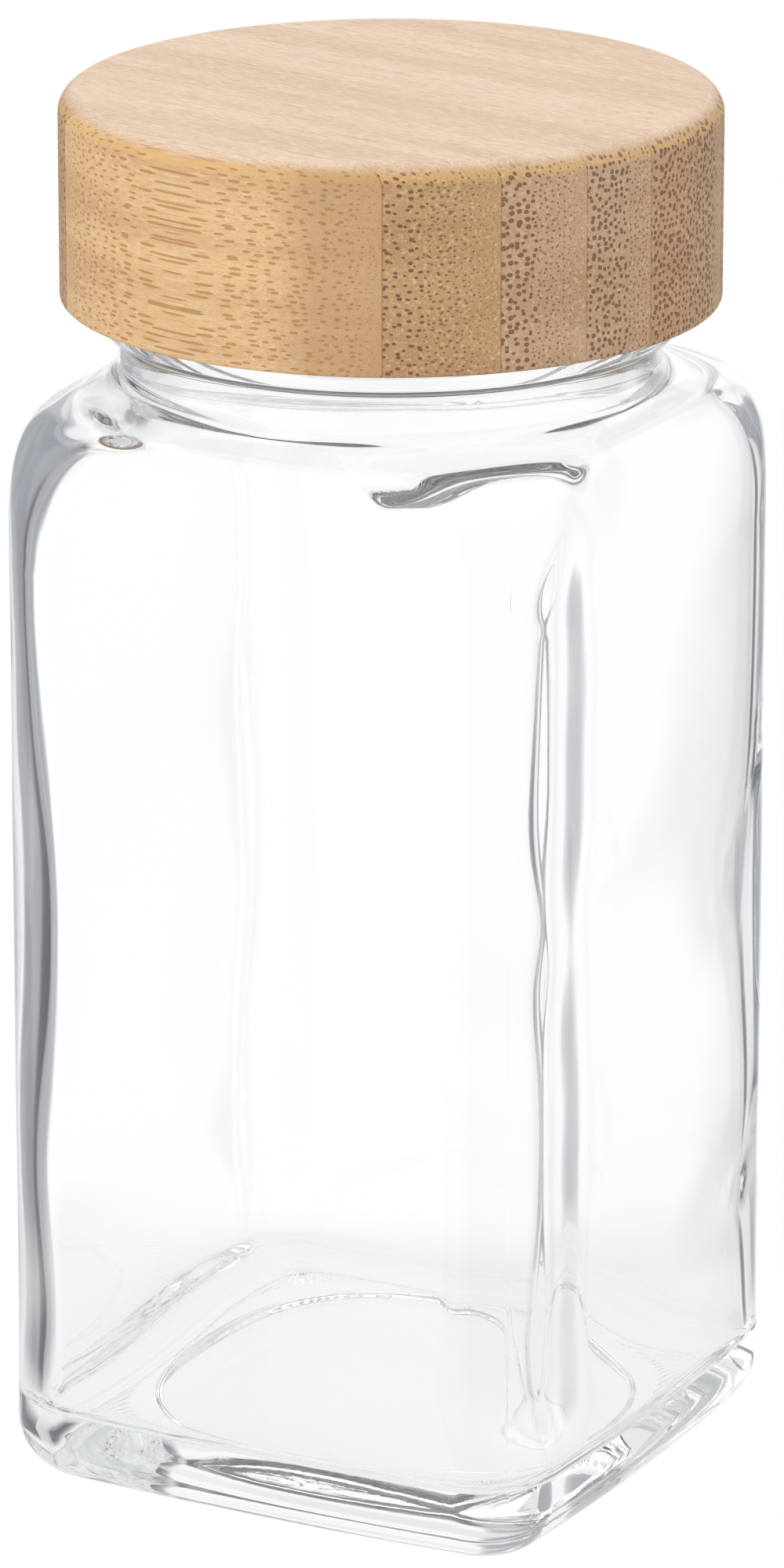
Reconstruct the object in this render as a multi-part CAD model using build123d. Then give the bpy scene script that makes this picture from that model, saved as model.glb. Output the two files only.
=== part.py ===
from build123d import *
import math
import os

# Square glass spice jar with a round screw lid of laminated bamboo.
# Lengths are millimetres and angles are degrees.
# +Z is up and the origin is the centre of the base.

# Glass body, outside
HALF_SIDE = 27.4
BODY_HEIGHT = 86.2
CORNER_R = 7.3
SIDE_TURN_DEG = 4.0
HEEL_EASE = 1.5
BEARING_WIDTH = 4.6
PUSH_UP_RISE = 2.2

# Shoulder, from the square body to the round neck
CREST_RISE = 11.7
FOOT_RISE = 1.7
SHOULDER_TILT = 2.0
NECK_INSET = 3.4
CREST_SHARE = 0.5
CREST_POWER = 3
FOOT_POWER = 2
CREST_STEPS = 7
FOOT_STEPS = 4

# Glass wall and inside
WALL_SIDE = 2.8
WALL_SHOULDER = 2.2
WALL_FINISH = 2.2
FLOOR_THICKNESS = 7.0
INNER_CORNER_EASE = 1.2
FLOOR_EASE = 1.1

# Neck and its finish
NECK_HEIGHT = 3.0
RING_HEIGHT = 2.3
RING_STAND = 1.4
RING_EDGE = 0.6
FINISH_HEIGHT = 10.3
FINISH_INSET = 1.4
RIM_EDGE_R = 0.8

# Threaded plastic cup in the lid and the disc that seals the rim
THREAD_ROOM = 1.5
CUP_WALL = 1.4
CUP_ROOF = 1.2
CUP_LIFT = 0.3
CUP_EDGE = 0.3
SEAL_THICKNESS = 1.2
SEAL_CLEARANCE = 0.3

# Bamboo lid
LID_CLEARANCE = 0.3
LID_WALL = 3.5
LID_ROOF = 6.0
LID_TOP_EDGE_R = 1.9
LID_BOTTOM_EDGE = 0.4
GRAIN_DEG = -10.9
STRIP_COUNT = 8
STRIP_WIDTH_SHARE = 0.257
STRIP_START_SHARE = 1.053

OVERRUN = 1.0

# Radii and heights that follow
HEEL_R = CORNER_R - HEEL_EASE
PUSH_UP_R = HALF_SIDE - HEEL_R - BEARING_WIDTH
INNER_CORNER_R = CORNER_R - INNER_CORNER_EASE
FLOOR_R = INNER_CORNER_R - FLOOR_EASE
NECK_R = HALF_SIDE - NECK_INSET
RING_R = NECK_R + RING_STAND
FINISH_R = NECK_R - FINISH_INSET
BORE_R = FINISH_R - WALL_FINISH
CUP_BORE_R = FINISH_R + THREAD_ROOM
CUP_R = CUP_BORE_R + CUP_WALL
LID_R = CUP_R + LID_WALL
STRIP_WIDTH = LID_R * STRIP_WIDTH_SHARE
STRIP_START = -LID_R * STRIP_START_SHARE

NECK_FOOT_Z = BODY_HEIGHT + CREST_RISE + FOOT_RISE + SHOULDER_TILT
RING_BOTTOM_Z = NECK_FOOT_Z + NECK_HEIGHT
RING_TOP_Z = RING_BOTTOM_Z + RING_HEIGHT
RIM_Z = RING_TOP_Z + FINISH_HEIGHT
LID_BOTTOM_Z = RING_TOP_Z + LID_CLEARANCE
SEAL_TOP_Z = RIM_Z + SEAL_THICKNESS
CUP_TOP_Z = SEAL_TOP_Z + CUP_ROOF
LID_TOP_Z = CUP_TOP_Z + LID_ROOF


def blend(first, last, share):
    """Value that lies the given share of the way from first to last."""
    return first + (last - first) * share


def turned_point(centre, radius, angle_deg, turn_deg, z):
    """Point on an arc, turned about the axis to its own quarter of the outline."""
    angle = math.radians(angle_deg)
    x = centre[0] + radius * math.cos(angle)
    y = centre[1] + radius * math.sin(angle)
    turn = math.radians(turn_deg)
    across = x * math.cos(turn) - y * math.sin(turn)
    along = x * math.sin(turn) + y * math.cos(turn)
    return (across, along, z)


def arc_through(centre, radius, angles_deg, turn_deg, z):
    """Arc through three angles of one circle."""
    points = [turned_point(centre, radius, angle, turn_deg, z) for angle in angles_deg]
    return ThreePointArc(*points)


def square_outline(half, corner_r, z):
    """Rounded square with four bowed sides, each tangent to the corners beside it."""
    turn = math.radians(SIDE_TURN_DEG)
    corner_at = (half - corner_r) / (1 + math.tan(turn / 2))
    side_r = corner_r + corner_at / math.sin(turn)
    side_angles = (-SIDE_TURN_DEG, 0, SIDE_TURN_DEG)
    corner_angles = (SIDE_TURN_DEG, 45, 90 - SIDE_TURN_DEG)
    edges = []
    for quarter in range(4):
        turn_deg = 90 * quarter
        edges.append(arc_through((half - side_r, 0), side_r, side_angles, turn_deg, z))
        edges.append(arc_through((corner_at, corner_at), corner_r, corner_angles, turn_deg, z))
    return Wire(edges)


def shoulder_rows(start_z):
    """Pairs of share of the square and height, from the body up to the neck."""
    rows = []
    for step in range(CREST_STEPS + 1):
        angle = math.pi / 2 * step / CREST_STEPS
        share = blend(CREST_SHARE, 1, math.cos(angle) ** (2 / CREST_POWER))
        rows.append((share, CREST_RISE * math.sin(angle) ** (2 / CREST_POWER)))
    for step in range(1, FOOT_STEPS + 1):
        angle = math.pi / 2 * step / FOOT_STEPS
        share = CREST_SHARE * (1 - math.sin(angle) ** (2 / FOOT_POWER))
        rise = FOOT_RISE * (1 - math.cos(angle) ** (2 / FOOT_POWER))
        rows.append((share, CREST_RISE + rise))
    return [(share, start_z + rise + SHOULDER_TILT * (1 - share)) for share, rise in rows]


def shoulder(half, corner_r, neck_r, start_z):
    """Solid that runs from the rounded square to the round neck."""
    outlines = [
        square_outline(blend(neck_r, half, share), blend(neck_r, corner_r, share), height)
        for share, height in shoulder_rows(start_z)
    ]
    return Solid.make_loft(outlines)


def square_column(half, corner_r, bottom_z, top_z, edge_r):
    """Upright rounded square with a rounded bottom edge."""
    outline = Face(square_outline(half, corner_r, bottom_z))
    column = extrude(outline, amount=top_z - bottom_z, dir=(0, 0, 1))
    return fillet(column.edges().group_by(Axis.Z)[0], edge_r)


def upright_cylinder(radius, bottom_z, top_z):
    """Cylinder on the axis between two heights."""
    standing = (Align.CENTER, Align.CENTER, Align.MIN)
    return Pos(0, 0, bottom_z) * Cylinder(radius, top_z - bottom_z, align=standing)


def neck_finish():
    """Neck, transfer ring and the plain wall that carries the thread."""
    neck = upright_cylinder(NECK_R, NECK_FOOT_Z, RING_TOP_Z - RING_EDGE)
    ring = upright_cylinder(RING_R, RING_BOTTOM_Z, RING_TOP_Z)
    ring = chamfer(ring.edges().filter_by(GeomType.CIRCLE), RING_EDGE)
    wall = upright_cylinder(FINISH_R, RING_BOTTOM_Z, RIM_Z)
    wall = fillet(wall.edges().filter_by(GeomType.CIRCLE).group_by(Axis.Z)[-1], RIM_EDGE_R)
    return neck + ring + wall


def push_up():
    """Shallow dome cut up into the base."""
    dome_r = (PUSH_UP_R ** 2 + PUSH_UP_RISE ** 2) / (2 * PUSH_UP_RISE)
    return Pos(0, 0, PUSH_UP_RISE - dome_r) * Sphere(dome_r)


def jar_cavity():
    """Hollow of the jar, from the floor to the open mouth."""
    half = HALF_SIDE - WALL_SIDE
    start_z = BODY_HEIGHT - WALL_SHOULDER
    column = square_column(half, INNER_CORNER_R, FLOOR_THICKNESS, start_z, FLOOR_R)
    mouth = upright_cylinder(BORE_R, NECK_FOOT_Z - WALL_SHOULDER, RIM_Z + OVERRUN)
    return column + shoulder(half, INNER_CORNER_R, BORE_R, start_z) + mouth


def glass_jar():
    """Square bottle with a round screw neck."""
    body = square_column(HALF_SIDE, CORNER_R, 0, BODY_HEIGHT, HEEL_R)
    top = shoulder(HALF_SIDE, CORNER_R, NECK_R, BODY_HEIGHT)
    return body + top + neck_finish() - jar_cavity() - push_up()


def cap_insert():
    """Cup glued into the lid, which carries the inner thread."""
    cup = upright_cylinder(CUP_R, LID_BOTTOM_Z + CUP_LIFT, CUP_TOP_Z)
    cup -= upright_cylinder(CUP_BORE_R, LID_BOTTOM_Z, SEAL_TOP_Z)
    return chamfer(cup.edges().filter_by(GeomType.CIRCLE).group_by(Axis.Z)[0], CUP_EDGE)


def seal_disc():
    """Disc held between the cup and the rim of the glass."""
    return upright_cylinder(CUP_BORE_R - SEAL_CLEARANCE, RIM_Z, SEAL_TOP_Z)


def lid_form():
    """Turned outer form of the lid with the recess for the cup."""
    form = upright_cylinder(LID_R, LID_BOTTOM_Z, LID_TOP_Z)
    form = fillet(form.edges().filter_by(GeomType.CIRCLE).sort_by(Axis.Z)[-1], LID_TOP_EDGE_R)
    form = chamfer(form.edges().filter_by(GeomType.CIRCLE).sort_by(Axis.Z)[0], LID_BOTTOM_EDGE)
    return form - upright_cylinder(CUP_R, LID_BOTTOM_Z - OVERRUN, CUP_TOP_Z)


def bamboo_strip(index, form):
    """One strip of the lamination, cut from the turned form along the grain."""
    start = STRIP_START + STRIP_WIDTH * index
    length = 2 * (LID_R + OVERRUN)
    height = LID_TOP_Z - LID_BOTTOM_Z + 2 * OVERRUN
    slab = Box(length, STRIP_WIDTH, height, align=(Align.CENTER, Align.MIN, Align.MIN))
    slab = Rot(0, 0, GRAIN_DEG) * Pos(0, start, LID_BOTTOM_Z - OVERRUN) * slab
    return form & slab


def save(shape, node):
    """Write one piece to its own file."""
    export_step(shape, os.path.join("parts", node + ".step"))


os.makedirs("parts", exist_ok=True)
save(glass_jar(), "glass_jar")
save(cap_insert(), "cap_insert")
save(seal_disc(), "seal_disc")
lid = lid_form()
for number in range(STRIP_COUNT):
    save(bamboo_strip(number, lid), "bamboo_strip_" + str(number + 1))
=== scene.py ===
"""Square glass spice jar with a screw lid of laminated bamboo: the visual model.

The frame is in metres. Sizes below are in millimetres and are turned into metres when a mesh is made.
The outside follows the solids. The inside of the glass was fitted to how the photograph's glass looks.
"""
import math
import bmesh
import bpy
import numpy as np
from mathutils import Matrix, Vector


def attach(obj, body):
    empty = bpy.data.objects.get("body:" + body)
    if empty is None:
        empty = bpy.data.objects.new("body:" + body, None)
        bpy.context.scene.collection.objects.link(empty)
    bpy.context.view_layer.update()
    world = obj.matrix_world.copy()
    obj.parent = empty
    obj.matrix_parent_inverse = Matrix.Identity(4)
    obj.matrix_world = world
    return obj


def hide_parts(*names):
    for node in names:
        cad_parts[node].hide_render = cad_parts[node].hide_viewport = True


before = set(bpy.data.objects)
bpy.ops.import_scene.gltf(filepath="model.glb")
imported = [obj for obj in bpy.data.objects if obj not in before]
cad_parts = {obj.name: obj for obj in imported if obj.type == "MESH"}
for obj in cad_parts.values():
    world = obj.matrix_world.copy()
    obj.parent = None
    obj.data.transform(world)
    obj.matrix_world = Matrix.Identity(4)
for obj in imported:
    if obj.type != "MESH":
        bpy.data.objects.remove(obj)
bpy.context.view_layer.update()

MM = 0.001
SEED = 7

# Outside of the glass, as in the solids
HALF_SIDE = 27.4
CORNER_R = 7.3
SIDE_TURN = math.radians(4.0)
HEEL_R = 5.8
BODY_HEIGHT = 86.2
CREST_RISE = 11.7
FOOT_RISE = 1.7
SHOULDER_TILT = 2.0
CREST_SHARE = 0.5
NECK_R = 24.0
NECK_FOOT_Z = 101.6
RING_BOTTOM_Z = 104.6
RING_TOP_Z = 106.9
RING_R = 25.4
RING_EDGE_R = 0.55
RING_FILLET_R = 0.5
FINISH_R = 22.6
FINISH_FILLET_R = 0.9
RIM_Z = 117.2
RIM_EDGE_R = 0.9
BORE_R = 20.4
BORE_EDGE_R = 0.7

# Underside of the glass: a push-up with a step round it and ribs on the bearing band
PUSH_UP_R = 20.2
PUSH_UP_RISE = 0.9
PUSH_UP_STEP = 0.95
STEP_R = 0.45
RIB_HEIGHT = 0.3

# Surface of the glass. The skin lies a little inside the solids, so that seam and ripples stay within them
SKIN_INSET = 0.13
SKIN_EASE = 6.0
RIPPLE_HEIGHT = 0.03
RIPPLE_LENGTH = 22.0
SEAM_WIDTH = 0.16
SEAM_HEIGHT = 0.035
SEAM_ON_SHOULDER = 0.06
SEAM_ON_NECK = 0.03
NECK_SEAM_SHARE = 0.5

# Inside of the glass
INNER_CORNER_R = 6.1
RIGHT_CORNER_R = 6.4
BACK_CORNER_R = 6.3
LEFT_CORNER_R = 6.0
FRONT_CORNER_R = 6.3
WALL_THIN = 1.55
WALL_MIDDLE = 0.85
WALL_LOW = 0.5
FLOOR_Z = 6.7
FLOOR_R = 2.0
FLOOR_CROWN = 1.1
FLOOR_REACH = 26.0
NECK_INSIDE_R = 22.3
INNER_SHOULDER_Z = 85.5
INNER_CREST_Z = 99.3
INNER_SHOULDER_POWER = 0.85
SHOULDER_WALL = 1.6

# Drops of thick glass under the shoulder
DROP_DEPTH = 2.9
DROP_AT_R = 25.3
DROP_REACH = 2.3
FRONT_DROP_SPREAD = 9.5
LEFT_DROP_SPREAD = 7.0
DROP_SHIFT = 2.0
LEFT_DROP_SHARE = 0.35

# Extra glass beside the front corner, on the +X side only
CORNER_GLASS = 1.4
CORNER_GLASS_FULL_Y = -17.6
CORNER_GLASS_END_Y = -13.4

# Thread, six turns per inch, right hand
PITCH = 25.4 / 6
THREAD_START = math.pi * 0.75
THREAD_TOP_Z = 114.6
THREAD_TURNS = 1.15
THREAD_HEIGHT = 0.95
THREAD_HALF_WIDTH = 1.15
THREAD_FADE = 0.08

# Bamboo lid
LID_R = 29.0
LID_BOTTOM_Z = 107.2
LID_TOP_Z = 125.6
LID_EDGE_R = 1.9
LID_FOOT_R = 0.45
GRAIN_TURN = math.radians(-10.9)
STRIP_WIDTH = LID_R * 0.257
STRIP_START = -LID_R * 1.053
STRIP_COUNT = 8
SHARP_EDGE = math.radians(35)

# Plastic cup in the lid, with its thread, and the seal
CUP_R = 25.5
CUP_TOP_Z = 119.6
CUP_BOTTOM_Z = 107.5
CUP_BORE_R = 24.1
CUP_EDGE = 0.3
CUP_STEPS = 240
CUP_THREAD_HEIGHT = 0.75
CUP_THREAD_HALF_WIDTH = 0.62
SEAL_TOP_Z = 118.4
SEAL_R = 23.8
SEAL_EDGE = 0.2
SEAL_PRESS = 0.02

# Meshes: steps of each side and corner, and the radius of the ring that a flat face closes
SIDE_STEPS = 36
CORNER_STEPS = 52
POLE_R = 0.4

# Table and camera
TABLE_LEVEL = 0.86
TABLE_R = 160.0
TABLE_NEAR = 38.0
TABLE_FAR = 75.0
TABLE_DROP = 0.2
CAMERA_AZIMUTH = 27.8
CAMERA_ELEVATION = 17.7
CAMERA_DISTANCE = 804.1
CAMERA_LENS = 207.18
CAMERA_SHIFT_X = 0.0006
CAMERA_SHIFT_Y = 0.0148
AIM_Z = 60.0
MAX_BOUNCES = 160

# Studio: direction of the backdrop's middle, light from above, and tint of its dark parts
BACKDROP_ANGLE = 117.8
TOP_LIGHT = 1.25
SHADE_TINT = (0.86, 0.91, 1.0, 1)
WHITE = (1, 1, 1, 1)

# Brightness of the studio by the angle to the left of the backdrop's middle
STUDIO_MAX = 1.3
STUDIO = (
    (-180, 0.7),
    (-155, 0.7),
    (-140, 0.85),
    (-85, 0.85),
    (-68, 0.25),
    (-61, 0.92),
    (-51, 0.92),
    (-45, 0.16),
    (-36, 0.2),
    (-29, 0.45),
    (-24, 1.0),
    (12.5, 1.0),
    (16, 0.6),
    (20, 0.46),
    (51, 0.38),
    (57, 0.13),
    (74, 0.08),
    (84, 1.3),
    (145, 1.3),
    (160, 0.7),
    (180, 0.7),
)

# For each bamboo strip: how far across it the dense bundles reach (as a share, 0 for a strip with
# streaks), the bundles' radius in mm, and its paler and its deeper display colour
STRIP_LOOKS = (
    (0.00, 0.12, (232, 193, 143), (216, 174, 126)),
    (0.34, 0.13, (200, 158, 115), (188, 145, 102)),
    (0.36, 0.185, (202, 167, 135), (190, 154, 121)),
    (0.62, 0.185, (200, 166, 135), (190, 155, 122)),
    (0.95, 0.19, (196, 157, 122), (182, 143, 108)),
    (0.60, 0.20, (196, 160, 124), (184, 146, 110)),
    (0.62, 0.21, (192, 156, 118), (180, 142, 104)),
    (0.30, 0.16, (210, 172, 130), (196, 156, 112)),
)

# Display colours of the bamboo's side
# Pale fibres, partly a painted sheen of shiny fibres
FIBRE_PALE_AND_SHEEN = (246, 219, 176)
FIBRE_DEEP = (188, 138, 84)
SPECK_DARK = (146, 108, 72)
SPECK_PALE = (236, 208, 170)
EDGE_GOLD = (233, 186, 120)
BUNDLE_TONE = (118, 82, 54)
BUNDLE_RIM = (98, 66, 42)
# Painted shade, laid over one end of the streaky strip
STREAKY_PAINTED_SHADE = (190, 149, 106)
STREAKY_TONE = (188, 126, 62)
STREAKY_RIM = (150, 94, 46)
GLUE_TONE = (128, 88, 54)

# Display colours of the bamboo's top
BAND_PALE = (231, 205, 178)
BAND_DEEP = (220, 191, 162)
TOP_STREAK = (198, 158, 121)
LINE_PALE = (246, 230, 210)
LINE_DARK = (194, 155, 120)


def blend(first, last, share):
    """Value that lies the given share of the way from first to last."""
    return first + (last - first) * share


def smooth(low, high, value):
    """Soft step from 0 at low to 1 at high, for arrays too."""
    share = np.clip((value - low) / (high - low), 0, 1)
    return share * share * (3 - 2 * share)


def hump(value, middle, reach):
    """Soft hump that is 1 at its middle, for arrays too."""
    return np.exp(-((value - middle) / reach) ** 2)


# Meshes made of rows of points round the axis

def column_angles():
    """Angle along its own arc, quarter and kind of arc for each column round the jar."""
    side = np.linspace(-SIDE_TURN, SIDE_TURN, SIDE_STEPS, endpoint=False)
    even = np.linspace(-1, 1, CORNER_STEPS, endpoint=False)
    corner = math.pi / 4 + (math.pi / 4 - SIDE_TURN) * (0.6 * even + 0.4 * even ** 3)
    columns = []
    for quarter in range(4):
        columns += [(angle, quarter, 0) for angle in side]
        columns += [(angle, quarter, 1) for angle in corner]
    return np.array(columns)


COLUMNS = column_angles()


def corner_radii(corner_r):
    """Corner radius that each column follows."""
    angle, quarter, is_corner = COLUMNS.T
    if np.ndim(corner_r) == 0:
        return np.full(len(angle), float(corner_r))
    corner_r = np.asarray(corner_r, dtype=float)
    own = corner_r[quarter.astype(int)]
    before = corner_r[quarter.astype(int) - 1]
    share = smooth(-SIDE_TURN, SIDE_TURN, angle)
    return np.where(is_corner > 0, own, blend(before, own, share))


def square_row(half, corner_r):
    """Points of a rounded square with bowed sides, one for each column. half = corner_r gives a circle.

    corner_r is one radius, or four that run smoothly into each other along the sides.
    """
    radius_at = corner_radii(corner_r)
    corner_at = (half - radius_at) / (1 + math.tan(SIDE_TURN / 2))
    side_r = radius_at + corner_at / math.sin(SIDE_TURN)
    angle, quarter, is_corner = COLUMNS.T
    centre_x = np.where(is_corner > 0, corner_at, half - side_r)
    centre_y = np.where(is_corner > 0, corner_at, 0.0)
    radius = np.where(is_corner > 0, radius_at, side_r)
    x = centre_x + radius * np.cos(angle)
    y = centre_y + radius * np.sin(angle)
    turn = quarter * math.pi / 2
    return np.stack([x * np.cos(turn) - y * np.sin(turn), x * np.sin(turn) + y * np.cos(turn)], 1)


def row_at(flat, z, push=None):
    """Row of points at one height. push says how far each point moves away from the axis."""
    if push is not None:
        out = flat / np.maximum(np.linalg.norm(flat, axis=1), 1e-6)[:, None]
        flat = flat + out * push(flat, z)[:, None]
    return np.column_stack([flat, np.full(len(flat), z)])


def circle_row(r, z, push=None):
    """Row of points on a circle."""
    return row_at(square_row(r, r), z, push)


def skin(name, rows):
    """Mesh through rows of points (in mm), with a flat face on its first row and on its last."""
    points = np.concatenate(rows) * MM
    count = len(rows[0])
    faces = []
    for row in range(len(rows) - 1):
        low = row * count
        high = (row + 1) * count
        for col in range(count):
            side = (col + 1) % count
            faces.append((low + col, low + side, high + side, high + col))
    faces.append(tuple(range(count))[::-1])
    faces.append(tuple((len(rows) - 1) * count + col for col in range(count)))
    mesh = bpy.data.meshes.new(name)
    mesh.from_pydata([tuple(p) for p in points], [], faces)
    mesh.polygons.foreach_set("use_smooth", [True] * len(mesh.polygons))
    return mesh


def place(name, mesh, body, material, node):
    """Object from a mesh, with its material, that rides on a body in place of a CAD node."""
    piece = bpy.data.objects.new(name, mesh)
    bpy.context.scene.collection.objects.link(piece)
    mesh.materials.append(material)
    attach(piece, body)
    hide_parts(node)
    return piece


# Outside of the glass

def wander(x, y, z, scale, seed, waves=7):
    """Smooth random field from about -1 to 1, as a sum of sine waves about one scale (mm) long."""
    random = np.random.default_rng(seed)
    total = np.zeros(np.broadcast(x, y, z).shape)
    for _ in range(waves):
        way = random.normal(size=3)
        way *= 2 * math.pi / (scale * random.uniform(0.7, 1.5) * np.linalg.norm(way))
        total = total + np.sin(way[0] * x + way[1] * y + way[2] * z + random.uniform(0, 2 * math.pi))
    return total / math.sqrt(waves)


def diagonals(points):
    """Distances from the axis along both diagonals: towards the front corner, and towards the right one."""
    front = (points[:, 0] - points[:, 1]) / math.sqrt(2)
    right = (points[:, 0] + points[:, 1]) / math.sqrt(2)
    return front, right


def shoulder_rows(start_z, steps_crest=30, steps_foot=18):
    """Share of the square and height of each row of the shoulder."""
    rows = []
    for step in range(steps_crest + 1):
        angle = math.pi / 2 * step / steps_crest
        share = blend(CREST_SHARE, 1, math.cos(angle) ** (2 / 3))
        rows.append((share, CREST_RISE * math.sin(angle) ** (2 / 3)))
    for step in range(1, steps_foot + 1):
        angle = math.pi / 2 * step / steps_foot
        share = CREST_SHARE * (1 - math.sin(angle))
        rows.append((share, CREST_RISE + FOOT_RISE * (1 - math.cos(angle))))
    return [(share, start_z + rise + SHOULDER_TILT * (1 - share)) for share, rise in rows]


def seam_ridge(flat, z):
    """Height of the fine mould seam on the front and back corners."""
    front, right = diagonals(flat)
    ridge = np.exp(-(right / SEAM_WIDTH) ** 2) * (np.abs(front) > 10)
    return ridge * (SEAM_HEIGHT + SEAM_ON_SHOULDER * smooth(84, 90, z) + SEAM_ON_NECK * smooth(100, 103, z))


def outer_push(flat, z):
    """Push of the body's outer skin: inset, mould seam and ripples, all eased in over the heel."""
    ripple = RIPPLE_HEIGHT * wander(flat[:, 0], flat[:, 1], z, RIPPLE_LENGTH, SEED)
    return (seam_ridge(flat, z) - SKIN_INSET + ripple) * smooth(HEEL_R, HEEL_R + SKIN_EASE, z)


def neck_push(flat, z):
    """Push of the neck's outer skin: the lower mould seam."""
    return NECK_SEAM_SHARE * seam_ridge(flat, z)


def thread_turn(angle):
    """Share of a turn that lies between the thread's start and an angle."""
    return np.mod(angle + THREAD_START, 2 * math.pi) / (2 * math.pi)


def thread_push(flat, z):
    """Height of the glass thread."""
    turn = thread_turn(np.arctan2(flat[:, 1], flat[:, 0]))
    high = np.zeros(len(flat))
    for lap in range(-1, 3):
        along = turn + lap
        centre = THREAD_TOP_Z - PITCH * (THREAD_TURNS - along)
        end = 1 - smooth(THREAD_TURNS - THREAD_FADE, THREAD_TURNS, along)
        off = np.abs(z - centre) / THREAD_HALF_WIDTH
        high = np.maximum(high, smooth(0, THREAD_FADE, along) * end * (1 - smooth(0.35, 1, off)))
    return THREAD_HEIGHT * high


def base_rows():
    """Rows of the underside, from its middle to the heel."""
    rows = []
    for r in np.linspace(POLE_R, PUSH_UP_R, 30):
        rows.append(circle_row(r, PUSH_UP_STEP + PUSH_UP_RISE * (1 - (r / PUSH_UP_R) ** 2)))
    for angle in np.linspace(0, math.pi / 2, 7)[1:]:
        r = PUSH_UP_R + STEP_R * math.sin(angle)
        rows.append(circle_row(r, PUSH_UP_STEP - STEP_R * (1 - math.cos(angle))))
    for angle in np.linspace(math.pi / 2, 0, 7)[1:]:
        r = PUSH_UP_R + STEP_R * (2 - math.sin(angle))
        rows.append(circle_row(r, (PUSH_UP_STEP - STEP_R) * (1 - math.cos(angle))))
    foot_r = PUSH_UP_R + 2 * STEP_R
    for share in np.linspace(0, 1, 26)[1:]:
        half = blend(foot_r, HALF_SIDE - HEEL_R, share)
        flat = square_row(half, blend(foot_r, CORNER_R - HEEL_R, share))
        band = smooth(0.3, 0.45, share) * (1 - smooth(0.7, 0.95, share))
        ribs = 0.5 + 0.5 * np.cos(np.arange(len(flat)) * math.pi / 2)
        rows.append(np.column_stack([flat, RIB_HEIGHT * band * ribs]))
    return rows


def body_rows():
    """Rows of the heel, the sides and the shoulder."""
    rows = []
    for angle in np.linspace(0, math.pi / 2, 22)[1:]:
        inset = HEEL_R * (1 - math.sin(angle))
        rows.append(row_at(square_row(HALF_SIDE - inset, CORNER_R - inset), HEEL_R * (1 - math.cos(angle))))
    for z in np.linspace(HEEL_R, BODY_HEIGHT, 62)[1:]:
        rows.append(row_at(square_row(HALF_SIDE, CORNER_R), z, outer_push))
    for share, z in shoulder_rows(BODY_HEIGHT)[1:]:
        flat = square_row(blend(NECK_R, HALF_SIDE, share), blend(NECK_R, CORNER_R, share))
        rows.append(row_at(flat, z, outer_push))
    return rows


def neck_rows():
    """Rows of the neck and of the ring round it."""
    rows = []
    neck_r = NECK_R - SKIN_INSET
    edge_r = RING_R - RING_EDGE_R
    for z in np.linspace(NECK_FOOT_Z, RING_BOTTOM_Z - RING_FILLET_R, 8)[1:]:
        rows.append(circle_row(neck_r, z, neck_push))
    for angle in np.linspace(0, math.pi / 2, 6)[1:]:
        r = neck_r + RING_FILLET_R * (1 - math.cos(angle))
        rows.append(circle_row(r, RING_BOTTOM_Z - RING_FILLET_R * (1 - math.sin(angle)), neck_push))
    for angle in np.linspace(-math.pi / 2, 0, 8):
        z = RING_BOTTOM_Z + RING_EDGE_R + RING_EDGE_R * math.sin(angle)
        rows.append(circle_row(edge_r + RING_EDGE_R * math.cos(angle), z, neck_push))
    for angle in np.linspace(0, math.pi / 2, 8):
        z = RING_TOP_Z - RING_EDGE_R + RING_EDGE_R * math.sin(angle)
        rows.append(circle_row(edge_r + RING_EDGE_R * math.cos(angle), z, neck_push))
    return rows


def finish_rows():
    """Rows of the screw finish, from the ring to the rim."""
    rows = []
    for angle in np.linspace(0, math.pi / 2, 7):
        r = FINISH_R + FINISH_FILLET_R * (1 - math.sin(angle))
        rows.append(circle_row(r, RING_TOP_Z + FINISH_FILLET_R * (1 - math.cos(angle))))
    for z in np.linspace(RING_TOP_Z + FINISH_FILLET_R, RIM_Z - RIM_EDGE_R, 44)[1:]:
        rows.append(circle_row(FINISH_R, z, thread_push))
    for angle in np.linspace(0, math.pi / 2, 9)[1:]:
        r = FINISH_R - RIM_EDGE_R + RIM_EDGE_R * math.cos(angle)
        rows.append(circle_row(r, RIM_Z - RIM_EDGE_R + RIM_EDGE_R * math.sin(angle)))
    return rows


# Inside of the glass

def wall_thickness(z):
    """Thickness of the side walls: thin under the shoulder and thickest a little below the middle."""
    return WALL_THIN + WALL_MIDDLE * hump(z, 49, 15) + WALL_LOW * hump(z, 17, 9)


def inner_corner_radii(z):
    """Radius of each inner corner at a height, in the order right, back, left and front."""
    right = RIGHT_CORNER_R + 1.1 * hump(z, 49, 13) + 0.8 * hump(z, 22, 8)
    left = LEFT_CORNER_R + 0.2 * math.sin(z / 10 + 2)
    body = float(smooth(FLOOR_Z - 2, FLOOR_Z + 5, z) * (1 - smooth(84, 91, z)))
    radii = (right, BACK_CORNER_R, left, FRONT_CORNER_R)
    return np.array([blend(INNER_CORNER_R, r, body) for r in radii])


def front_glass(flat, half, z):
    """Outline with the extra glass beside the front corner. Its far edge wanders along the height."""
    x, y = flat[:, 0], flat[:, 1]
    near = smooth(0.55, 0.85, x / half)
    body = float(smooth(FLOOR_Z + 1, FLOOR_Z + 9, z) * (1 - smooth(86, 96, z)))
    wave = 0.35 * math.sin(z / 5.3) + 0.25 * math.sin(z / 2.1 + 1)
    thick = CORNER_GLASS * (1 + 0.12 * math.sin(z / 9 + 0.5) - 0.35 * hump(z, 57, 6))
    share = smooth(CORNER_GLASS_END_Y + wave, CORNER_GLASS_FULL_Y, y)
    return np.column_stack([x - thick * body * near * share, y])


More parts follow.
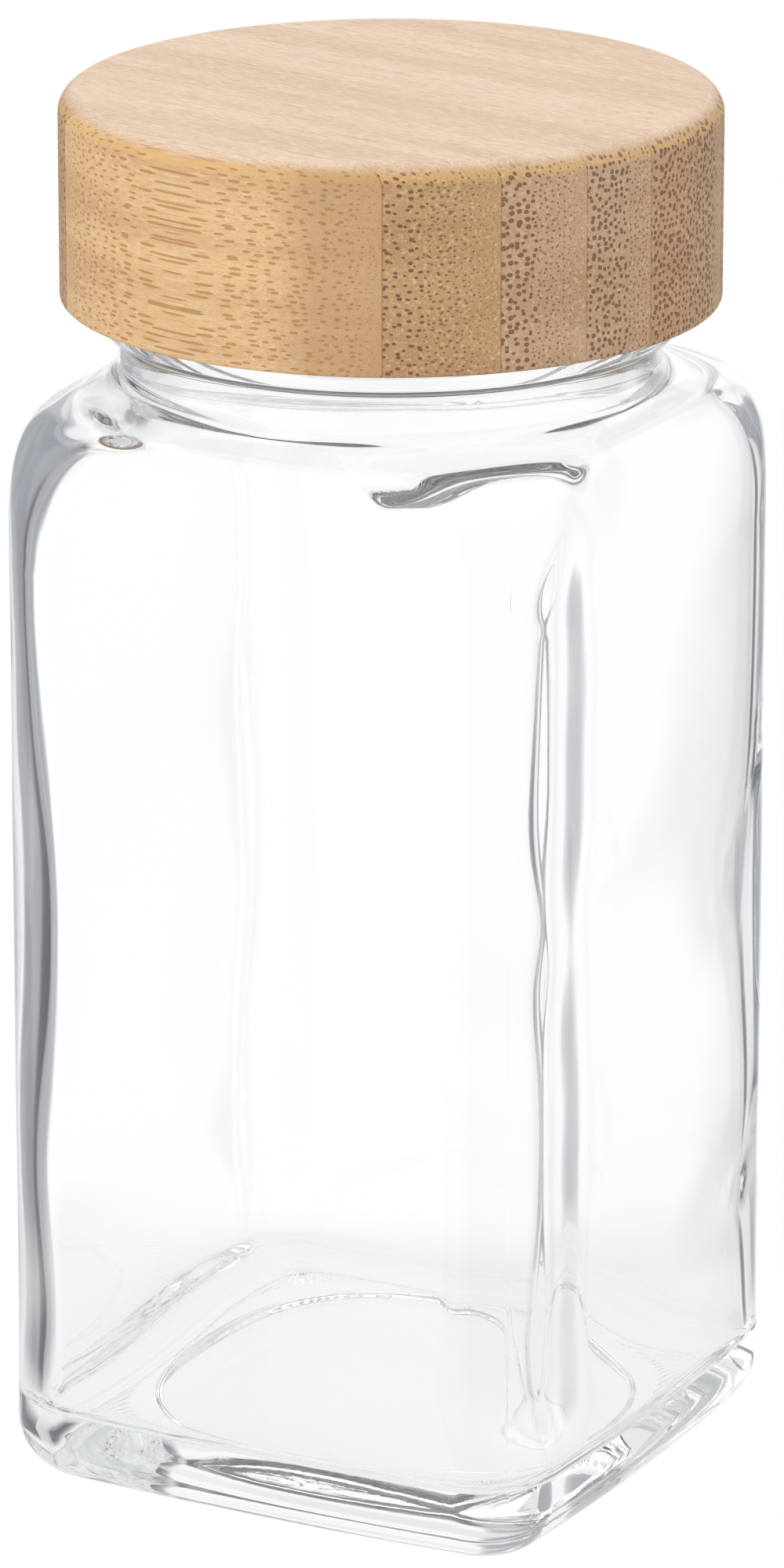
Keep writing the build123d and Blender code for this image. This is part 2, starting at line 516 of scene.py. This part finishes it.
def inner_push(flat, z):
    """Push of the inner wall: it wanders a little, most of all in the corners and on one rough patch."""
    x, y = flat[:, 0], flat[:, 1]
    corner = np.abs(np.sin(2 * np.arctan2(y, x))) ** 3
    broad = (0.05 + 0.04 * corner) * wander(x * 0.6, y * 0.6, z, 46, SEED + 1)
    fine = (0.01 + 0.02 * corner) * wander(x, y, z, 15, SEED + 2)
    patch = hump(x, 25, 4) * hump(y, -11, 2.6) * (hump(z, 35, 6) + 0.5 * hump(z, 65, 5))
    rough = 0.04 * patch * wander(x, y, z * 0.5, 1.9, SEED + 3, 12)
    body = smooth(FLOOR_Z + 3, FLOOR_Z + 14, z) * (1 - smooth(80, 92, z))
    return body * (broad + fine + rough)


def inner_neck_push(flat, z):
    """Push of the inside of the neck: slight waves below the ring."""
    return 0.05 * smooth(108, 104, z) * wander(flat[:, 0], flat[:, 1], z, 11, SEED + 4)


def hang_drops(points):
    """Row of points with the drops of thick glass under the shoulder, at the front and left corners."""
    front, right = diagonals(points)
    front_drop = hump(front, DROP_AT_R, DROP_REACH) * hump(right, -DROP_SHIFT, FRONT_DROP_SPREAD)
    left_drop = hump(right, -DROP_AT_R, DROP_REACH) * hump(front, DROP_SHIFT, LEFT_DROP_SPREAD)
    shoulder = smooth(INNER_SHOULDER_Z, INNER_SHOULDER_Z + 6, points[:, 2])
    down = DROP_DEPTH * shoulder * (front_drop + LEFT_DROP_SHARE * left_drop)
    return np.column_stack([points[:, :2], points[:, 2] - down])


def outer_half(z):
    """Half width of the outside at a height on the shoulder."""
    shares, heights = zip(*shoulder_rows(BODY_HEIGHT))
    return float(np.interp(z, heights, [blend(NECK_R, HALF_SIDE, share) for share in shares]))


def inner_row(half, corner_r, z, push=None):
    """Row of the inside, with the extra glass beside the front corner."""
    return row_at(front_glass(square_row(half, corner_r), half, z), z, push)


def inner_neck_rows():
    """Rows of the mouth and of the inside of the neck."""
    rows = []
    for angle in np.linspace(math.pi / 2, 0, 8):
        r = BORE_R + BORE_EDGE_R - BORE_EDGE_R * math.cos(angle)
        rows.append(inner_row(r, r, RIM_Z - BORE_EDGE_R + BORE_EDGE_R * math.sin(angle)))
    for z in np.linspace(RIM_Z - BORE_EDGE_R - 1, INNER_CREST_Z, 26):
        r = blend(NECK_INSIDE_R, BORE_R, float(smooth(INNER_CREST_Z + 1.5, RING_TOP_Z + 0.5, z)))
        rows.append(inner_row(r, r, z, inner_neck_push))
    return rows


def inner_body_rows():
    """Rows of the inside of the shoulder, the sides and the curve into the floor."""
    rows = []
    for angle in np.linspace(math.pi / 2, 0, 42)[1:]:
        share = math.cos(angle) ** INNER_SHOULDER_POWER
        z = blend(INNER_SHOULDER_Z, INNER_CREST_Z, math.sin(angle) ** INNER_SHOULDER_POWER)
        wall = blend(SHOULDER_WALL, wall_thickness(z), share)
        half = max(NECK_INSIDE_R, outer_half(z + 1.0) - wall)
        radii = np.minimum(blend(half, inner_corner_radii(z), share), half)
        rows.append(hang_drops(inner_row(half, radii, z)))
    for z in np.linspace(INNER_SHOULDER_Z, FLOOR_Z + FLOOR_R, 120)[1:]:
        rows.append(inner_row(HALF_SIDE - wall_thickness(z), inner_corner_radii(z), z, inner_push))
    for angle in np.linspace(0, math.pi / 2, 22)[1:]:
        inset = FLOOR_R * (1 - math.cos(angle))
        z = FLOOR_Z + FLOOR_R * (1 - math.sin(angle))
        radii = np.maximum(inner_corner_radii(z) - inset, 1.0)
        rows.append(inner_row(HALF_SIDE - wall_thickness(z) - inset, radii, z, inner_push))
    return rows


def inner_floor_rows():
    """Rows of the crowned floor, from its edge to its middle."""
    rows = []
    edge_half = HALF_SIDE - wall_thickness(FLOOR_Z) - FLOOR_R
    edge_radii = np.maximum(inner_corner_radii(FLOOR_Z) - FLOOR_R, 1.0)
    for share in np.linspace(0, 1, 56)[1:]:
        half = blend(edge_half, POLE_R, share)
        flat = square_row(half, np.minimum(blend(edge_radii, POLE_R, share), half))
        away = np.clip(np.linalg.norm(flat, axis=1) / FLOOR_REACH, 0, 1)
        crown = FLOOR_CROWN * 0.5 * (1 + np.cos(math.pi * away))
        rows.append(np.column_stack([flat, FLOOR_Z + crown]))
    return rows


# Node helpers

class Nodes:
    """Short calls to build a node tree."""

    def __init__(self, tree):
        self.tree = tree
        self.tree.nodes.clear()

    def add(self, kind, ins=(), **settings):
        """A node with its settings and inputs. An input is a value or another node's output."""
        node = self.tree.nodes.new(kind)
        for key, value in settings.items():
            setattr(node, key, value)
        for key, value in dict(ins).items():
            socket = node.inputs[key]
            if isinstance(value, bpy.types.NodeSocket):
                self.tree.links.new(value, socket)
            else:
                socket.default_value = value
        return node

    def math(self, operation, *values):
        """Output of a Math node."""
        return self.add("ShaderNodeMath", dict(enumerate(values)), operation=operation).outputs[0]

    def times(self, first, last):
        """Product of two values."""
        return self.math("MULTIPLY", first, last)

    def less(self, first, last):
        """First value less the last."""
        return self.math("SUBTRACT", first, last)

    def step(self, value, low, high, first=0.0, last=1.0):
        """Soft step of a value."""
        ins = {"Value": value, 1: low, 2: high, 3: first, 4: last}
        node = self.add("ShaderNodeMapRange", ins, interpolation_type="SMOOTHSTEP", clamp=True)
        return node.outputs[0]

    def mix(self, factor, first, last):
        """Output of a colour mix."""
        ins = {0: factor, 6: first, 7: last}
        return self.add("ShaderNodeMix", ins, data_type="RGBA", clamp_factor=True).outputs[2]

    def tint(self, base, mask, weight, tone):
        """Base colour with a display colour laid over it where the mask says."""
        return self.mix(self.times(mask, weight), base, colour(*tone))

    def noise(self, vector, scale, detail=2.0, rough=0.5):
        """Value of a noise texture."""
        ins = {"Vector": vector, "Scale": scale, "Detail": detail, "Roughness": rough}
        return self.add("ShaderNodeTexNoise", ins).outputs[0]

    def vector(self, x, y, z):
        """Vector from three values."""
        return self.add("ShaderNodeCombineXYZ", {0: x, 1: y, 2: z}).outputs[0]

    def bump(self, height, strength, distance):
        """Normal of a surface with a fine relief. distance is in metres."""
        ins = {"Height": height, "Strength": strength, "Distance": distance}
        return self.add("ShaderNodeBump", ins).outputs[0]


def new_material(name):
    """Material with an empty node tree, and its Nodes."""
    material = bpy.data.materials.new(name)
    material.use_nodes = True
    return material, Nodes(material.node_tree)


def colour(red, green, blue):
    """Colour with full alpha, from display values of 0 to 255."""
    def linear(value):
        share = value / 255
        return share / 12.92 if share <= 0.04045 else ((share + 0.055) / 1.055) ** 2.4
    return (linear(red), linear(green), linear(blue), 1.0)


# Glass

def glass_material():
    """Clear soda glass with a faint grey tint in depth and a slightly uneven pressed surface."""
    material, n = new_material("clear_glass")
    here = n.add("ShaderNodeTexCoord").outputs["Object"]
    uneven = n.noise(here, 70.0, 2.0, 0.45)
    fine = n.noise(here, 520.0, 3.0, 0.6)
    normal = n.bump(n.math("MULTIPLY_ADD", fine, 0.08, uneven), 0.05, 0.0004)
    tint = n.mix(n.noise(here, 40.0), (0.985, 0.99, 0.988, 1), WHITE)
    shader = n.add("ShaderNodeBsdfPrincipled", {
        "Base Color": tint, "Roughness": 0.0, "IOR": 1.5, "Transmission Weight": 1.0, "Normal": normal,
    })
    depth = n.add("ShaderNodeVolumeAbsorption", {"Color": (0.55, 0.6, 0.6, 1), "Density": 2.0})
    n.add("ShaderNodeOutputMaterial", {"Surface": shader.outputs[0], "Volume": depth.outputs[0]})
    return material


def make_glass():
    """The glass jar as one closed skin."""
    rows = base_rows() + body_rows() + neck_rows() + finish_rows()
    rows += inner_neck_rows() + inner_body_rows() + inner_floor_rows()
    mesh = skin("glass_jar_form", rows)
    return place("glass_jar_clear", mesh, "jar", glass_material(), "glass_jar")


# Bamboo

def stretched(n, axes, along_share, across_share=1.0):
    """Place in the wood for a noise that is drawn out along the grain."""
    along, across, up = axes
    return n.vector(n.times(along, along_share), n.times(across, across_share), up)


def bundle_places(n, axes, seed):
    """Place in the cut across the grain. The bundles lean and bend a little along it."""
    along, across, up = axes
    bend = n.add("ShaderNodeTexNoise", {
        "Vector": n.vector(n.times(along, 0.05), n.times(across, 0.1), seed), "Scale": 1.0, "Detail": 1.0,
    }).outputs[1]
    bend = n.add("ShaderNodeSeparateXYZ", {0: bend}).outputs
    bent_across = n.math("MULTIPLY_ADD", n.less(bend[0], 0.5), 1.2, n.math("ADD", across, seed))
    bent_up = n.math("MULTIPLY_ADD", n.less(bend[1], 0.5), 1.2, up)
    return n.vector(bent_across, bent_up, 0.0)


def dots(n, places, ragged, cell, radius, size):
    """Masks of round bundles and of their dark rims. size is a share of the radius, 0 for none."""
    ins = {"Vector": places, "Scale": 1 / cell, "Randomness": 0.8}
    cells = n.add("ShaderNodeTexVoronoi", ins, voronoi_dimensions="2D")
    chance = n.add("ShaderNodeSeparateColor", {0: cells.outputs["Color"]}).outputs[0]
    reach = n.times(size, n.math("MULTIPLY_ADD", chance, 0.5, 0.72))
    reach = n.times(reach, n.math("MULTIPLY_ADD", ragged, 0.7, 0.65))
    edge = n.math("MULTIPLY_ADD", reach, radius / cell, n.times(cells.outputs["Distance"], -1.0))
    whole = n.step(edge, -0.03, 0.05)
    return whole, n.times(whole, n.step(edge, 0.15, 0.05))


def bundle_masks(n, places, share, dense_share, bundle_r):
    """Masks of all bundles and of their dark rims: dense and large on one side of the strip."""
    ragged = n.noise(places, 5.0, 2.0, 0.6)
    scatter = n.noise(places, 0.8, 2.0)
    dense_end = n.math("MULTIPLY_ADD", n.less(scatter, 0.5), 0.35, dense_share)
    past = n.less(share, dense_end)
    middle = n.times(n.step(past, -0.05, 0.05), n.step(past, 0.75, 0.1, 0.35, 1.0))
    if dense_share == 0:
        middle = n.step(share, 1.0, 0.7, 0.45, 1.0)
    large, large_rim = dots(n, places, ragged, 0.64, bundle_r, n.step(past, -0.06, 0.1, 1.0, 0.0))
    medium, medium_rim = dots(n, places, ragged, 0.52, 0.108, middle)
    small = dots(n, places, ragged, 0.33, 0.05, 1.0)[0]
    spots = n.math("MAXIMUM", large, n.times(medium, 0.8))
    spots = n.math("MAXIMUM", spots, n.times(small, 0.4))
    return spots, n.math("MAXIMUM", large_rim, n.times(medium_rim, 0.6))


def side_colour(n, axes, share, look, fibre, speck, golden, masks):
    """Colour of the strip's side, with painted shade on part of the streaky strip and pale fibres that are
    partly a painted sheen. golden is a mask of the lid's rounded edge.
    """
    dense_share, _, pale_tone, deep_tone = look
    spots, rims = masks
    cloud = n.noise(stretched(n, axes, 0.05, 0.22), 0.35, 2.0)
    ground = n.mix(n.step(cloud, 0.35, 0.68), colour(*pale_tone), colour(*deep_tone))
    # Paler fibre streaks: partly the fibres' own tone, partly a painted sheen where shiny fibres catch the
    # light
    ground = n.tint(ground, n.step(fibre, 0.5, 0.7), 0.5, FIBRE_PALE_AND_SHEEN)
    ground = n.tint(ground, n.step(fibre, 0.46, 0.28), 0.35, FIBRE_DEEP)
    ground = n.tint(ground, n.step(speck, 0.5, 0.68), 0.22, SPECK_DARK)
    ground = n.tint(ground, n.step(speck, 0.48, 0.34), 0.2, SPECK_PALE)
    ground = n.tint(ground, golden, 0.5, EDGE_GOLD)
    if dense_share > 0:
        return n.tint(n.tint(ground, spots, 0.8, BUNDLE_TONE), rims, 0.6, BUNDLE_RIM)
    # Painted shade: the streaky strip turns darker towards one end along the grain and over the far part of
    # its width, as if turned away from the light
    shade = n.times(n.step(share, 0.34, 0.62, 0.0, 0.6), n.step(axes[0], -8.0, 4.0))
    ground = n.mix(shade, ground, colour(*STREAKY_PAINTED_SHADE))
    return n.tint(n.tint(ground, spots, 0.8, STREAKY_TONE), rims, 0.6, STREAKY_RIM)


def top_colour(n, axes):
    """Colour of the lid's top: pale and deeper bands with fine lines along the grain."""
    bands = n.noise(stretched(n, axes, 0.02, 0.35), 1.0, 3.0)
    streak = n.noise(stretched(n, axes, 0.03), 4.6, 5.0, 0.65)
    thin = n.noise(stretched(n, axes, 0.07), 12.0, 3.0, 0.65)
    plain = n.mix(n.step(bands, 0.36, 0.64), colour(*BAND_PALE), colour(*BAND_DEEP))
    plain = n.tint(plain, n.step(streak, 0.52, 0.66), 0.65, TOP_STREAK)
    plain = n.tint(plain, n.step(thin, 0.54, 0.64), 0.7, LINE_PALE)
    return n.tint(plain, n.step(thin, 0.45, 0.36), 0.7, LINE_DARK)


def glue_lines(n, across, start, top):
    """Mask of the glue lines at both sides of the strip, which show less on the top."""
    near = n.math("MINIMUM", n.less(across, start), n.less(start + STRIP_WIDTH, across))
    return n.times(n.step(near, 0.09, 0.02), n.math("MULTIPLY_ADD", top, -0.8, 1.0))


def bamboo_material(index):
    """Bamboo strip: bundles run along the grain and show as dots, streaks or lines by how they are cut."""
    material, n = new_material("bamboo_" + str(index + 1))
    look = STRIP_LOOKS[index]
    seed = float(np.random.default_rng(SEED + 20 + index).uniform(0, 50))
    start = STRIP_START + STRIP_WIDTH * index
    here = n.add("ShaderNodeTexCoord").outputs["Object"]
    turned = {"Vector": here, "Rotation": (0, 0, -GRAIN_TURN), "Scale": (1 / MM,) * 3}
    turned = n.add("ShaderNodeMapping", turned).outputs[0]
    axes = n.add("ShaderNodeSeparateXYZ", {0: turned}).outputs
    share = n.math("DIVIDE", n.less(axes[1], start), STRIP_WIDTH)
    masks = bundle_masks(n, bundle_places(n, axes, seed), share, look[0], look[1])

    # The colour goes by the way the surface faces
    normal = n.add("ShaderNodeNewGeometry").outputs["Normal"]
    facing = n.add("ShaderNodeSeparateXYZ", {0: normal}).outputs[2]
    top = n.step(facing, 0.5, 0.97)
    not_top = n.less(1.0, top)
    golden = n.times(n.step(facing, 0.08, 0.4), not_top)
    fibre = n.noise(stretched(n, axes, 0.1), 3.4, 4.0, 0.6)
    speck = n.noise(turned, 6.5, 3.0, 0.75)
    side = side_colour(n, axes, share, look, fibre, speck, golden, masks)
    wood = n.mix(top, side, top_colour(n, axes))
    wood = n.tint(wood, glue_lines(n, axes[1], start, top), 0.4, GLUE_TONE)

    relief = n.math("MULTIPLY_ADD", n.times(masks[0], not_top), -0.6, n.times(speck, 0.4))
    shader = n.add("ShaderNodeBsdfPrincipled", {
        "Base Color": wood, "Roughness": n.step(fibre, 0.3, 0.7, 0.42, 0.58),
        "Normal": n.bump(relief, 0.4, 0.0001), "IOR": 1.45, "Specular IOR Level": 0.35,
    })
    n.add("ShaderNodeOutputMaterial", {"Surface": shader.outputs[0]})
    return material


def lathe(profile, steps=240):
    """Closed mesh turned from a closed profile of (radius, height). Radius 0 makes a pole."""
    made = bmesh.new()
    rings = []
    for r, z in profile:
        if r == 0:
            rings.append([made.verts.new((0, 0, z * MM))])
            continue
        ring = []
        for step in range(steps):
            angle = 2 * math.pi * step / steps
            ring.append(made.verts.new((r * math.cos(angle) * MM, r * math.sin(angle) * MM, z * MM)))
        rings.append(ring)
    for index, ring in enumerate(rings):
        other = rings[(index + 1) % len(rings)]
        for step in range(steps):
            side = (step + 1) % steps
            if len(ring) == 1 and len(other) == 1:
                break
            if len(ring) == 1:
                made.faces.new((ring[0], other[side], other[step]))
            elif len(other) == 1:
                made.faces.new((ring[step], ring[side], other[0]))
            else:
                made.faces.new((ring[step], ring[side], other[side], other[step]))
    bmesh.ops.recalc_face_normals(made, faces=made.faces)
    return made


def arc(centre_r, centre_z, radius, first, last, steps):
    """Points of an arc in a profile, angles in degrees."""
    angles = np.radians(np.linspace(first, last, steps + 1))
    return [(centre_r + radius * math.cos(a), centre_z + radius * math.sin(a)) for a in angles]


def lid_profile():
    """Closed outline of the turned lid, with its recess."""
    points = [(CUP_R, LID_BOTTOM_Z)]
    points += arc(LID_R - LID_FOOT_R, LID_BOTTOM_Z + LID_FOOT_R, LID_FOOT_R, -90, 0, 5)
    points += [(LID_R, z) for z in np.linspace(LID_BOTTOM_Z + 2, LID_TOP_Z - LID_EDGE_R - 2, 5)]
    points += arc(LID_R - LID_EDGE_R, LID_TOP_Z - LID_EDGE_R, LID_EDGE_R, 0, 90, 12)
    points += [(r, LID_TOP_Z) for r in (24, 18, 12, 6)]
    return points + [(0, LID_TOP_Z), (0, CUP_TOP_Z), (CUP_R, CUP_TOP_Z)]


def finished_mesh(made, name):
    """Smooth mesh from a bmesh, with sharp edges where the form turns hard."""
    for face in made.faces:
        face.smooth = True
    for edge in made.edges:
        edge.smooth = len(edge.link_faces) == 2 and edge.calc_face_angle(0) < SHARP_EDGE
    mesh = bpy.data.meshes.new(name)
    made.to_mesh(mesh)
    made.free()
    return mesh


def make_strip(index):
    """One bamboo strip, cut from the turned lid by two planes along the grain."""
    made = lathe(lid_profile())
    normal = Vector((-math.sin(GRAIN_TURN), math.cos(GRAIN_TURN), 0))
    for side, away in ((0, -1), (1, 1)):
        at = normal * (STRIP_START + STRIP_WIDTH * (index + side)) * MM
        whole = made.verts[:] + made.edges[:] + made.faces[:]
        cut = bmesh.ops.bisect_plane(
            made, geom=whole, plane_co=at, plane_no=normal * away, clear_outer=True)
        edges = [e for e in cut["geom_cut"] if isinstance(e, bmesh.types.BMEdge)]
        if edges:
            bmesh.ops.triangle_fill(made, edges=edges, use_beauty=True)
    bmesh.ops.recalc_face_normals(made, faces=made.faces)
    name = "bamboo_strip_" + str(index + 1)
    mesh = finished_mesh(made, name + "_form")
    return place(name + "_wood", mesh, "lid", bamboo_material(index), name)


# Plastic cup and seal

def plastic_material():
    """Off-white moulded plastic with a fine satin surface."""
    material, n = new_material("white_plastic")
    here = n.add("ShaderNodeTexCoord").outputs["Object"]
    cloud = n.noise(here, 160.0, 3.0)
    shader = n.add("ShaderNodeBsdfPrincipled", {
        "Base Color": n.mix(cloud, colour(236, 236, 231), colour(226, 226, 220)),
        "Roughness": n.step(cloud, 0.3, 0.7, 0.32, 0.42),
        "Normal": n.bump(n.noise(here, 2600.0, 2.0), 0.2, 0.00005),
        "Subsurface Weight": 0.15,
        "Subsurface Scale": 0.002,
    })
    n.add("ShaderNodeOutputMaterial", {"Surface": shader.outputs[0]})
    return material


def foam_material():
    """Soft white foam with fine cells."""
    material, n = new_material("seal_foam")
    here = n.add("ShaderNodeTexCoord").outputs["Object"]
    cells = n.add("ShaderNodeTexVoronoi", {"Vector": here, "Scale": 2200.0}).outputs["Distance"]
    shader = n.add("ShaderNodeBsdfPrincipled", {
        "Base Color": n.mix(n.noise(here, 240.0, 3.0), colour(240, 240, 236), colour(228, 229, 224)),
        "Roughness": 0.8,
        "Normal": n.bump(cells, 0.3, 0.00008),
    })
    n.add("ShaderNodeOutputMaterial", {"Surface": shader.outputs[0]})
    return material


def cup_bore(turns, z):
    """Radius of the cup's bore at a height. Its thread runs in the gap over the glass thread."""
    turn = thread_turn(turns)
    high = np.zeros(len(turns))
    for lap in range(-2, 5):
        along = turn + lap
        centre = THREAD_TOP_Z - PITCH * (THREAD_TURNS - along) - PITCH / 2
        low_end = smooth(CUP_BOTTOM_Z + 0.4, CUP_BOTTOM_Z + 1.6, centre)
        high_end = 1 - smooth(SEAL_TOP_Z - 4.4, SEAL_TOP_Z - 3.2, centre)
        off = np.abs(z - centre) / CUP_THREAD_HALF_WIDTH
        high = np.maximum(high, low_end * high_end * (1 - smooth(0.3, 1, off)))
    return CUP_BORE_R - CUP_THREAD_HEIGHT * high


def make_cup():
    """Threaded cup, from the middle of its ceiling down the bore and back over its outside."""
    turns = np.linspace(0, 2 * math.pi, CUP_STEPS, endpoint=False)
    profile = [(r, SEAL_TOP_Z) for r in (POLE_R, 8, 16, 22, CUP_BORE_R)]
    bore = np.linspace(SEAL_TOP_Z - 0.2, CUP_BOTTOM_Z + CUP_EDGE, 62)
    profile += [(cup_bore(turns, z), z) for z in bore]
    profile += [(CUP_BORE_R + CUP_EDGE, CUP_BOTTOM_Z), (CUP_R - CUP_EDGE, CUP_BOTTOM_Z)]
    profile += [(CUP_R, z) for z in (CUP_BOTTOM_Z + CUP_EDGE, 110, 113, 116, CUP_TOP_Z)]
    profile += [(r, CUP_TOP_Z) for r in (22, 16, 8, POLE_R)]
    rows = []
    for r, z in profile:
        rows.append(np.column_stack([r * np.cos(turns), r * np.sin(turns), np.full(CUP_STEPS, z)]))
    made = bmesh.new()
    made.from_mesh(skin("cup_rows", rows))
    bmesh.ops.recalc_face_normals(made, faces=made.faces)
    mesh = finished_mesh(made, "cap_insert_plastic_form")
    return place("cap_insert_plastic", mesh, "lid", plastic_material(), "cap_insert")


def make_seal():
    """Foam disc, pressed in a little where the rim bears on it."""
    profile = [(0, RIM_Z), (BORE_R - 1.5, RIM_Z)]
    profile += [(BORE_R, RIM_Z + SEAL_PRESS), (FINISH_R - 0.4, RIM_Z + SEAL_PRESS)]
    profile += [(SEAL_R - SEAL_EDGE, RIM_Z), (SEAL_R, RIM_Z + SEAL_EDGE), (SEAL_R, SEAL_TOP_Z - SEAL_EDGE)]
    profile += [(SEAL_R - SEAL_EDGE, SEAL_TOP_Z), (12, SEAL_TOP_Z), (0, SEAL_TOP_Z)]
    mesh = finished_mesh(lathe(profile, 160), "seal_disc_foam_form")
    return place("seal_disc_foam", mesh, "seal", foam_material(), "seal_disc")


# Floor, light and camera

def table_material():
    """White for the camera. The glass sees only the table's middle, a little darker. Clear from below."""
    material, n = new_material("table")
    seen = n.add("ShaderNodeLightPath").outputs["Is Camera Ray"]
    level = n.math("MULTIPLY_ADD", seen, 1.0 - TABLE_LEVEL, TABLE_LEVEL)
    white = n.add("ShaderNodeEmission", {"Color": WHITE, "Strength": level}).outputs[0]
    clear = n.add("ShaderNodeBsdfTransparent").outputs[0]
    here = n.add("ShaderNodeTexCoord").outputs["Object"]
    away = n.add("ShaderNodeVectorMath", {0: here}, operation="LENGTH").outputs["Value"]
    gone = n.times(n.step(away, TABLE_NEAR * MM, TABLE_FAR * MM), n.less(1.0, seen))
    below = n.add("ShaderNodeNewGeometry").outputs["Backfacing"]
    both = n.add("ShaderNodeMixShader", {0: n.math("MAXIMUM", gone, below), 1: white, 2: clear})
    n.add("ShaderNodeOutputMaterial", {"Surface": both.outputs[0]})
    return material


def make_floor():
    """Pale round table under the jar."""
    made = bmesh.new()
    bmesh.ops.create_circle(made, cap_ends=True, segments=96, radius=TABLE_R * MM)
    mesh = bpy.data.meshes.new("table_form")
    made.to_mesh(mesh)
    made.free()
    mesh.materials.append(table_material())
    table = bpy.data.objects.new("table", mesh)
    bpy.context.scene.collection.objects.link(table)
    table.location = (0, 0, -TABLE_DROP * MM)


def round_level(n, x, y):
    """Brightness of the studio round the jar, by the angle from the middle of the backdrop."""
    look = math.radians(BACKDROP_ANGLE)
    ahead = n.math("ADD", n.times(x, math.cos(look)), n.times(y, math.sin(look)))
    left = n.less(n.times(y, math.cos(look)), n.times(x, math.sin(look)))
    share = n.math("MULTIPLY_ADD", n.math("ARCTAN2", left, ahead), 0.5 / math.pi, 0.5)
    ramp = n.add("ShaderNodeValToRGB", {0: share})
    stops = ramp.color_ramp.elements
    while len(stops) < len(STUDIO):
        stops.new(0.5)
    for stop, (angle, level) in zip(stops, STUDIO):
        stop.position = (angle + 180) / 360
        stop.color = (level / STUDIO_MAX,) * 3 + (1,)
    grey = n.add("ShaderNodeSeparateColor", {0: ramp.outputs[0]}).outputs[0]
    return n.times(grey, STUDIO_MAX)


def make_world():
    """White studio: plain white to the camera, with softboxes and dark gaps round the jar for the glass."""
    world = bpy.data.worlds.new("studio")
    bpy.context.scene.world = world
    world.use_nodes = True
    n = Nodes(world.node_tree)
    way = n.add("ShaderNodeTexCoord").outputs["Generated"]
    x, y, z = n.add("ShaderNodeSeparateXYZ", {0: way}).outputs
    upward = n.step(z, 0.45, 0.8)
    around = n.times(n.less(1.0, upward), round_level(n, x, y))
    level = n.math("MULTIPLY_ADD", upward, TOP_LIGHT, around)
    tint = n.mix(n.step(level, 0.9, 0.2), WHITE, SHADE_TINT)
    shade = n.add("ShaderNodeBackground", {"Color": tint, "Strength": level}).outputs[0]
    plain = n.add("ShaderNodeBackground", {"Color": WHITE, "Strength": 1.0}).outputs[0]
    seen = n.add("ShaderNodeLightPath").outputs["Is Camera Ray"]
    both = n.add("ShaderNodeMixShader", {0: seen, 1: shade, 2: plain})
    n.add("ShaderNodeOutputWorld", {"Surface": both.outputs[0]})


def make_camera():
    """Camera where the photograph was taken from."""
    turn = math.radians(CAMERA_AZIMUTH)
    rise = math.radians(CAMERA_ELEVATION)
    aim = Vector((0, 0, AIM_Z * MM))
    back = Vector((math.sin(turn) * math.cos(rise), -math.cos(turn) * math.cos(rise), math.sin(rise)))
    data = bpy.data.cameras.new("camera")
    data.sensor_width = 36.0
    data.lens = CAMERA_LENS
    data.shift_x = CAMERA_SHIFT_X
    data.shift_y = CAMERA_SHIFT_Y
    data.clip_start = 0.05
    data.clip_end = 50.0
    camera = bpy.data.objects.new("camera", data)
    bpy.context.scene.collection.objects.link(camera)
    camera.location = aim + back * CAMERA_DISTANCE * MM
    camera.rotation_mode = "QUATERNION"
    camera.rotation_quaternion = (-back).to_track_quat("-Z", "Y")
    bpy.context.scene.camera = camera


make_glass()
for strip_index in range(STRIP_COUNT):
    make_strip(strip_index)
make_cup()
make_seal()
make_floor()
make_world()
make_camera()

scene = bpy.context.scene
scene.view_settings.view_transform = "Standard"
scene.cycles.max_bounces = MAX_BOUNCES
scene.cycles.transmission_bounces = MAX_BOUNCES
scene.cycles.glossy_bounces = MAX_BOUNCES
